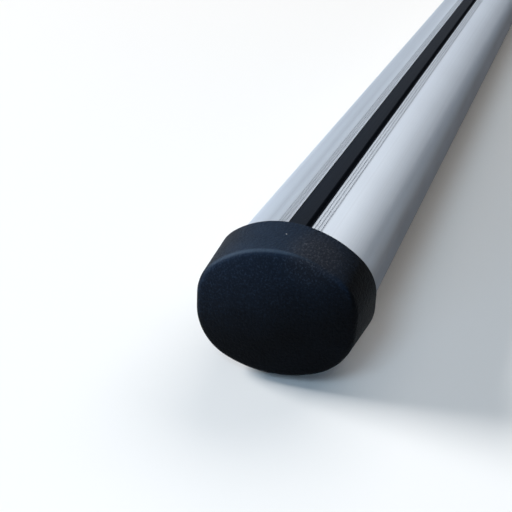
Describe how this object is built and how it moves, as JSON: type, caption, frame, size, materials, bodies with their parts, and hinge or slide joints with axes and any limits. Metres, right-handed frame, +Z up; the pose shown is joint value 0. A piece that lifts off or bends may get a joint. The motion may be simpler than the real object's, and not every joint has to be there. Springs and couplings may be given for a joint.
{
  "type": "roof rack crossbar",
  "caption": "Aluminium roof rack crossbar with an oval hollow section, slots with rubber strips on top and below, and moulded black end caps.",
  "frame": {"origin": "under the middle of the bar, at the level of the end caps' lowest points", "axes": "+X along the bar towards the right end cap, +Z up out of the top slot, Y across the bar"},
  "size_m": [1.234, 0.062, 0.051],
  "materials": {
    "anodised_aluminium": "silver anodised, satin, with fine drawing lines along the bar",
    "slot_rubber": "plain matt black",
    "cap_plastic": "black, fine moulded grain",
    "screw_steel": "plain stainless"
  },
  "bodies": {
    "root": {"bar_extrusion": "anodised_aluminium", "top_slot_strip": "slot_rubber", "foot_slot_strip": "slot_rubber", "left_end_cap": "cap_plastic", "right_end_cap": "cap_plastic", "cap_screws": "screw_steel"}
  },
  "joints": []
}
